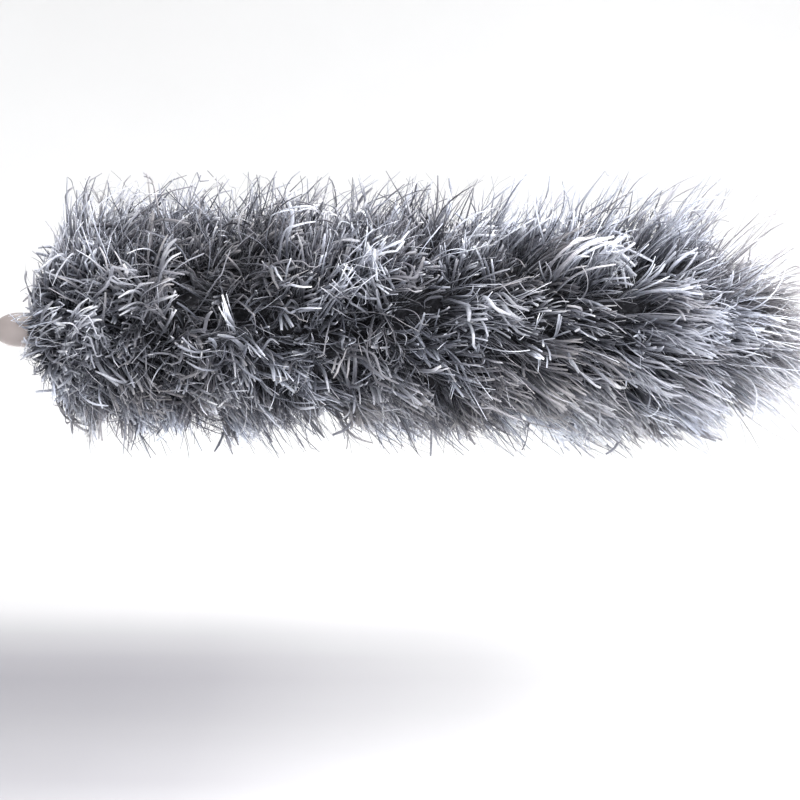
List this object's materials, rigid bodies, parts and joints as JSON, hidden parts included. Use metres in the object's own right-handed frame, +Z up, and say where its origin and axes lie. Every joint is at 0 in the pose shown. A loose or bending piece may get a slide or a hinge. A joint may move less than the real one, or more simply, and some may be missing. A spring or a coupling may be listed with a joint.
{
  "type": "feather duster",
  "caption": "Telescopic microfibre feather duster: a fluffy grey bendable head screwed to a steel pole of sliding tubes with a soft grip and a swivelling hanging loop.",
  "frame": {"origin": "centre of the hanging hole in the loop at the handle's end, on the pole's axis", "axes": "+X along the pole from the hanging loop to the head's tip, +Z up with the duster lying level, +Y through the hanging hole"},
  "size_m": [0.7365, 0.126, 0.126],
  "materials": {
    "fringe_microfibre": "matte, loose grey microfibre fringe",
    "core_wire": "galvanised twisted wire",
    "tube_steel": "satin stainless tube",
    "small_steel": "satin",
    "warm_grey_plastic": "satin warm grey moulding",
    "soft_sleeve": "matte soft-touch",
    "tip_silicone": "matte silicone",
    "seal_rubber": "matte",
    "nylon": "satin dark nylon"
  },
  "bodies": {
    "handle": {"end_cap": "warm_grey_plastic", "grip_core": "warm_grey_plastic", "grip_sleeve": "soft_sleeve", "outer_tube": "tube_steel", "outer_tube_collar": "warm_grey_plastic", "outer_mouth_bush": "nylon"},
    "hang_loop": {"hanging_loop": "warm_grey_plastic"},
    "middle_stage": {"middle_tube": "tube_steel", "middle_mouth_bush": "nylon", "middle_tail_glide": "nylon", "middle_friction_band": "small_steel"},
    "inner_stage": {"inner_tube": "tube_steel", "inner_tail_glide": "nylon", "inner_friction_band": "small_steel", "threaded_plug": "nylon", "plug_rivet": "small_steel"},
    "neck_seal": {"neck_o_ring": "seal_rubber"},
    "head_1": {"neck_ferrule": "warm_grey_plastic", "core_crimp_sleeve": "small_steel", "ferrule_lock_pin": "small_steel", "core_wires_1": "core_wire", "fringe_pile_1": "fringe_microfibre"},
    "head_2": {"core_wires_2": "core_wire", "fringe_pile_2": "fringe_microfibre"},
    "head_3": {"core_wires_3": "core_wire", "fringe_pile_3": "fringe_microfibre"},
    "head_4": {"core_wires_4": "core_wire", "fringe_pile_4": "fringe_microfibre"},
    "head_5": {"core_wires_5": "core_wire", "fringe_pile_5": "fringe_microfibre"},
    "head_6": {"core_wires_6": "core_wire", "fringe_pile_6": "fringe_microfibre"},
    "head_7": {"core_wires_7": "core_wire", "fringe_pile_7": "fringe_microfibre", "tip_crimp_sleeve": "small_steel", "tip_cap": "tip_silicone"}
  },
  "joints": [
    {"name": "hang_loop_swivel", "type": "hinge", "parent": "handle", "child": "hang_loop", "pos_m": [0.02, 0, 0], "axis": [1, 0, 0], "continuous": true},
    {"name": "middle_tube_slide", "type": "slide", "parent": "handle", "child": "middle_stage", "axis": [1, 0, 0], "range_m": [0, 0.21]},
    {"name": "inner_tube_slide", "type": "slide", "parent": "middle_stage", "child": "inner_stage", "axis": [1, 0, 0], "range_m": [0, 0.215]},
    {"name": "head_unscrew_travel", "type": "slide", "parent": "inner_stage", "child": "neck_seal", "axis": [1, 0, 0], "range_m": [0, 0.0121]},
    {"name": "head_unscrew_turn", "type": "hinge", "parent": "neck_seal", "child": "head_1", "pos_m": [0.325, 0, 0], "axis": [1, 0, 0], "range_deg": [0, 1440]},
    {"name": "head_bend_1", "type": "hinge", "parent": "head_1", "child": "head_2", "pos_m": [0.384, 0, 0], "axis": [0, 1, 0], "range_deg": [-15, 15]},
    {"name": "head_bend_2", "type": "hinge", "parent": "head_2", "child": "head_3", "pos_m": [0.435, 0, 0], "axis": [0, 1, 0], "range_deg": [-15, 15]},
    {"name": "head_bend_3", "type": "hinge", "parent": "head_3", "child": "head_4", "pos_m": [0.486, 0, 0], "axis": [0, 1, 0], "range_deg": [-15, 15]},
    {"name": "head_bend_4", "type": "hinge", "parent": "head_4", "child": "head_5", "pos_m": [0.537, 0, 0], "axis": [0, 1, 0], "range_deg": [-15, 15]},
    {"name": "head_bend_5", "type": "hinge", "parent": "head_5", "child": "head_6", "pos_m": [0.588, 0, 0], "axis": [0, 1, 0], "range_deg": [-15, 15]},
    {"name": "head_bend_6", "type": "hinge", "parent": "head_6", "child": "head_7", "pos_m": [0.639, 0, 0], "axis": [0, 1, 0], "range_deg": [-15, 15]}
  ],
  "couplings": [
    {"joint": "head_unscrew_travel", "follows": "head_unscrew_turn", "m_per_rad": 0.00047746},
    {"joint": "head_bend_2", "follows": "head_bend_1", "ratio": 1},
    {"joint": "head_bend_3", "follows": "head_bend_1", "ratio": 1},
    {"joint": "head_bend_4", "follows": "head_bend_1", "ratio": 1},
    {"joint": "head_bend_5", "follows": "head_bend_1", "ratio": 1},
    {"joint": "head_bend_6", "follows": "head_bend_1", "ratio": 1}
  ]
}
